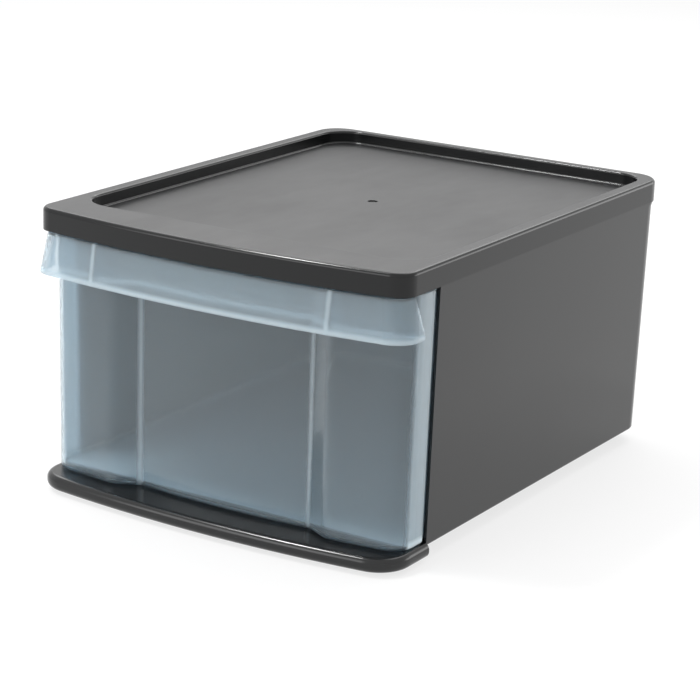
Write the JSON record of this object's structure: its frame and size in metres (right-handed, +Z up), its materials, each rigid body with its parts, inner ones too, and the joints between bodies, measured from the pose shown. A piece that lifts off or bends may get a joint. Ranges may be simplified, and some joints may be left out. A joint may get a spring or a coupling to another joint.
{
  "type": "stackable drawer box",
  "caption": "Stackable plastic drawer box: a black open-fronted housing with a recessed top cover and a translucent pull-out drawer with a wide curved pull lip.",
  "frame": {"origin": "middle of the bounding box's footprint, on the ground under the nesting pan", "axes": "+X to the right as seen from the front, +Y towards the back (the drawer opens towards -Y), +Z up"},
  "size_m": [0.3, 0.388, 0.2035],
  "materials": {
    "black_plastic": "fine-grained black polypropylene, satin",
    "black_plastic_cover": "fine-grained black polypropylene, satin, with a soft sheen on the flat top",
    "translucent_plastic": "cool-tinted translucent polypropylene, smooth"
  },
  "bodies": {
    "case": {"housing": "black_plastic", "top_cover": "black_plastic_cover"},
    "drawer": {"drawer": "translucent_plastic"}
  },
  "joints": [
    {"name": "drawer_slide", "type": "slide", "parent": "case", "child": "drawer", "axis": [0, -1, 0], "range_m": [0, 0.302]}
  ]
}
